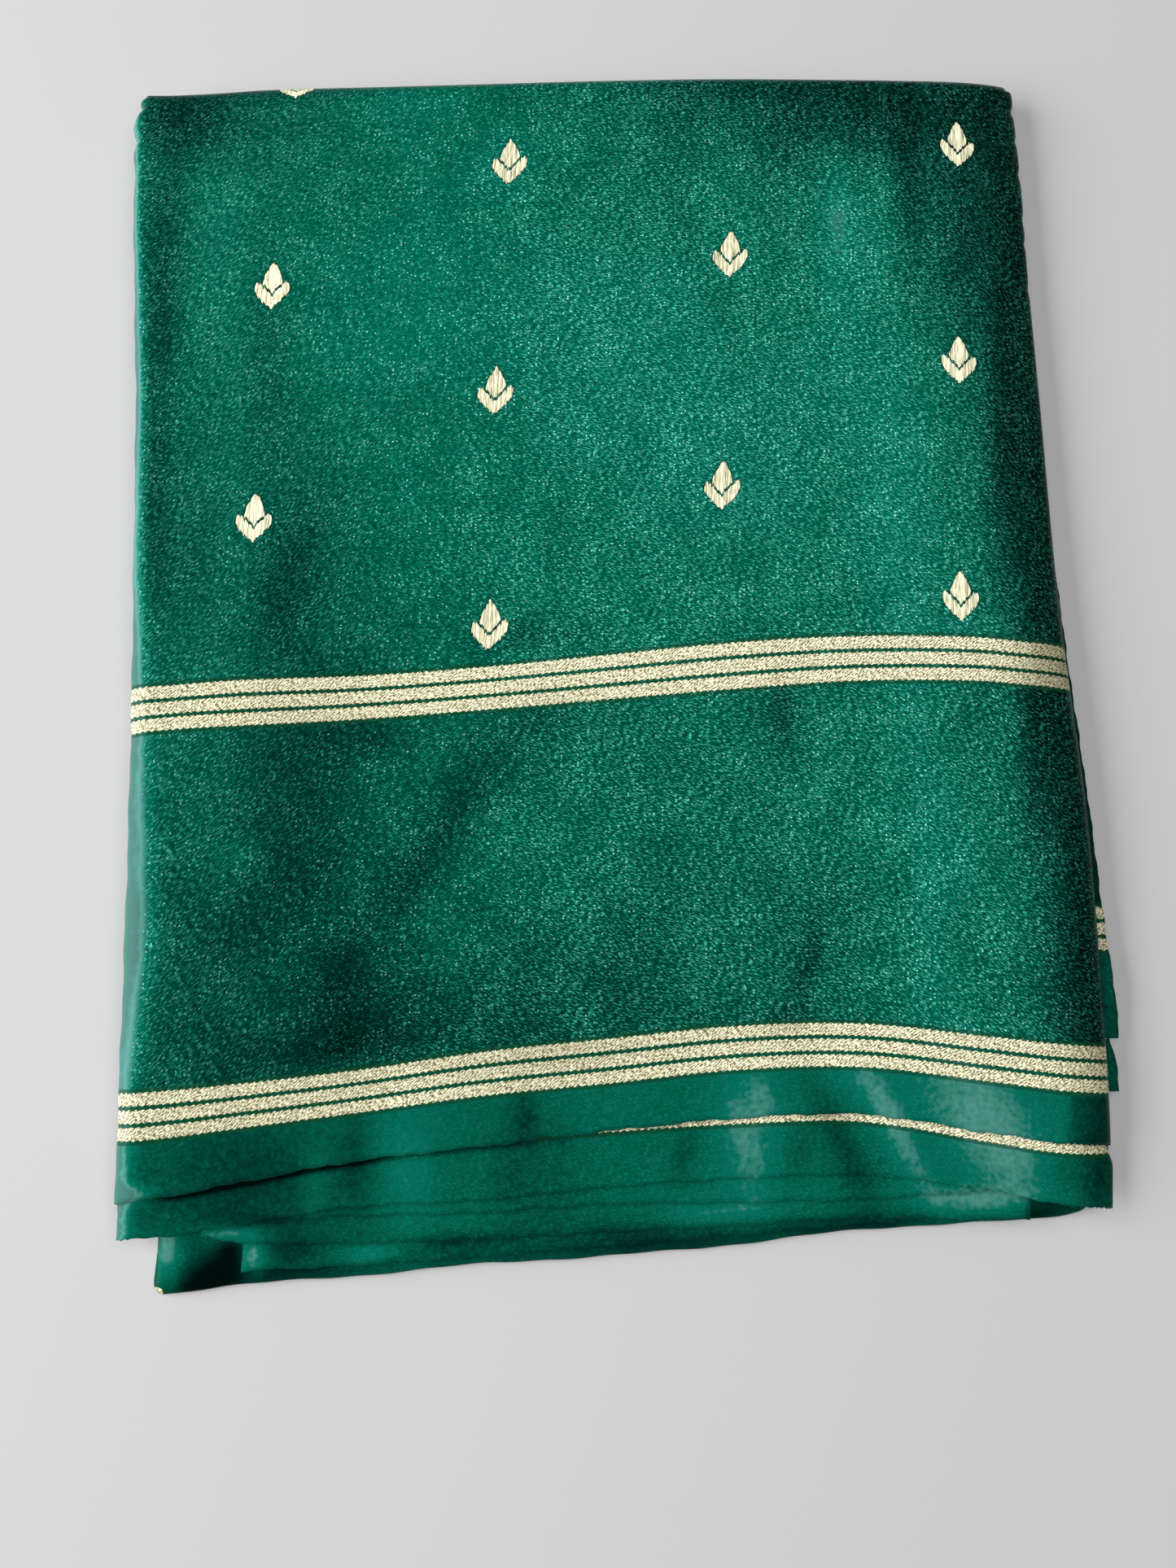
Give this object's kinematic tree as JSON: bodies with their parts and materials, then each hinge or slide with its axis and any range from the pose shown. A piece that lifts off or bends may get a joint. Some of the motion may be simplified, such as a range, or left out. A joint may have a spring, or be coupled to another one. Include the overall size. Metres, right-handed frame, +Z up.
{
  "type": "saree",
  "caption": "Saree folded flat into a panel: green satin with metallic striped borders and scattered bud motifs, plies stepped along the selvedge edge.",
  "frame": {"origin": "under the middle of the folded stack, on the surface that it rests on", "axes": "+Z up out of the surface, +Y from the stepped selvedge edges towards the top fold, +X across the stack to the right"},
  "size_m": [0.4937, 0.6175, 0.0188],
  "materials": {
    "satin": "satin weave with zari borders and woven motifs",
    "core_satin": "satin, folded edges"
  },
  "bodies": {
    "root": {"top_panel": "satin", "second_ply": "satin", "third_ply": "satin", "fourth_ply": "satin", "fifth_ply": "satin", "lowest_fold": "satin", "right_flap_upper": "satin", "right_flap_middle": "satin", "right_flap_lower": "satin", "folded_core": "core_satin"}
  },
  "joints": []
}
